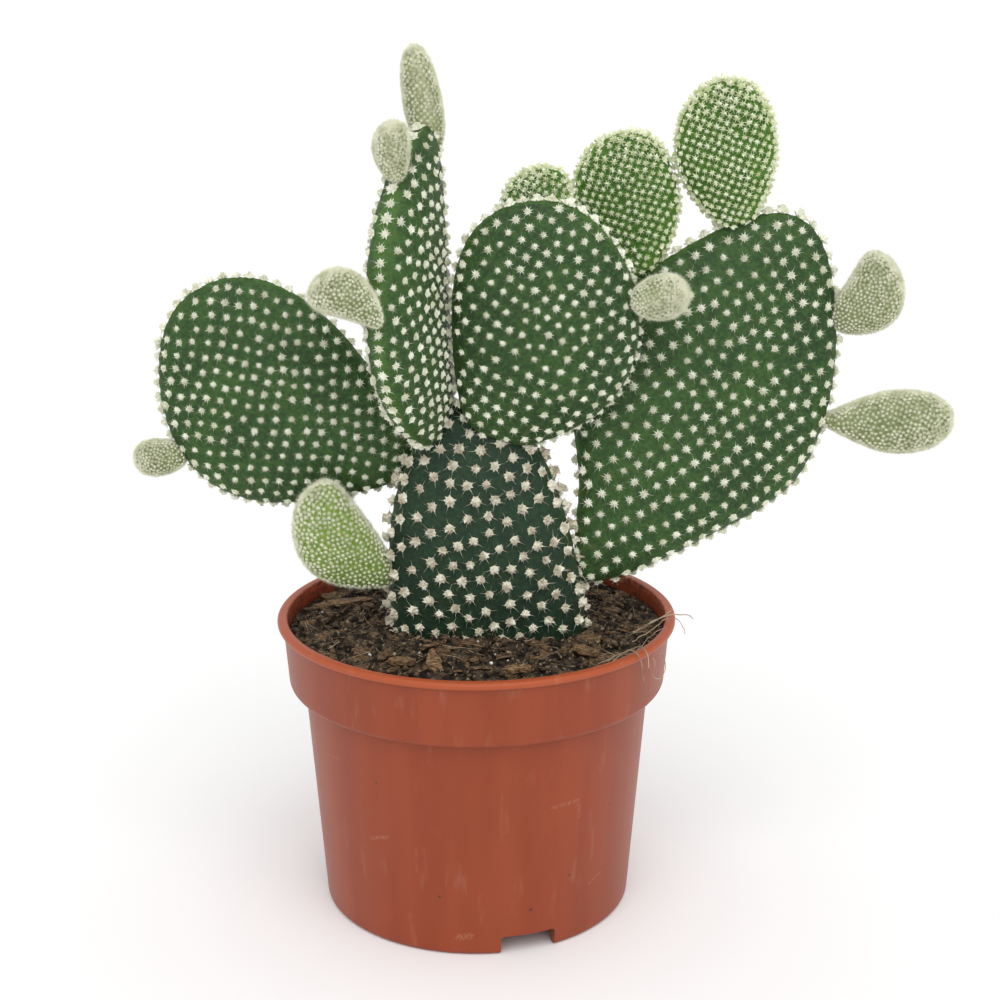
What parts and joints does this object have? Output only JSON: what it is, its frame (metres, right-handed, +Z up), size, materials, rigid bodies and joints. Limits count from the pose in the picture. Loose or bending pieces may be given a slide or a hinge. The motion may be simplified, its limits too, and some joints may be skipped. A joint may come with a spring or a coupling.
{
  "type": "potted paddle cactus",
  "caption": "Potted paddle cactus: flat oval pads and young buds branching from a thick base pad, in a round collared nursery pot filled with soil.",
  "frame": {"origin": "middle of the pot's underside, on the surface the pot stands on", "axes": "+Z up along the pot's axis, the plant's broad side facing -Y, +X to the right as seen from there"},
  "size_m": [0.2421, 0.12, 0.2569],
  "materials": {
    "pot_plastic": "satin",
    "peat_soil": "matte",
    "pine_bark": "matte",
    "dry_straw": "matte",
    "old_skin": "matte",
    "mature_skin": "matte",
    "fresh_skin": "matte",
    "bud_skin": "matte"
  },
  "bodies": {
    "root": {"pot": "pot_plastic", "soil": "peat_soil", "bark_chip_front": "pine_bark", "bark_chip_left": "pine_bark", "bark_chip_right": "pine_bark", "bark_chip_front_right": "pine_bark", "bark_chip_front_left": "pine_bark", "straw_long": "dry_straw", "straw_loop": "dry_straw", "straw_short": "dry_straw", "base_pad": "old_skin", "left_pad": "mature_skin", "narrow_pad": "mature_skin", "centre_pad": "mature_skin", "right_pad": "mature_skin", "upper_back_pad": "fresh_skin", "upper_right_pad": "fresh_skin", "upper_middle_pad": "fresh_skin", "far_left_bud": "bud_skin", "lower_left_bud": "bud_skin", "centre_left_bud": "bud_skin", "top_left_small_bud": "bud_skin", "top_left_tall_bud": "bud_skin", "centre_right_bud": "bud_skin", "right_bud": "bud_skin", "far_right_bud": "bud_skin"}
  },
  "joints": []
}
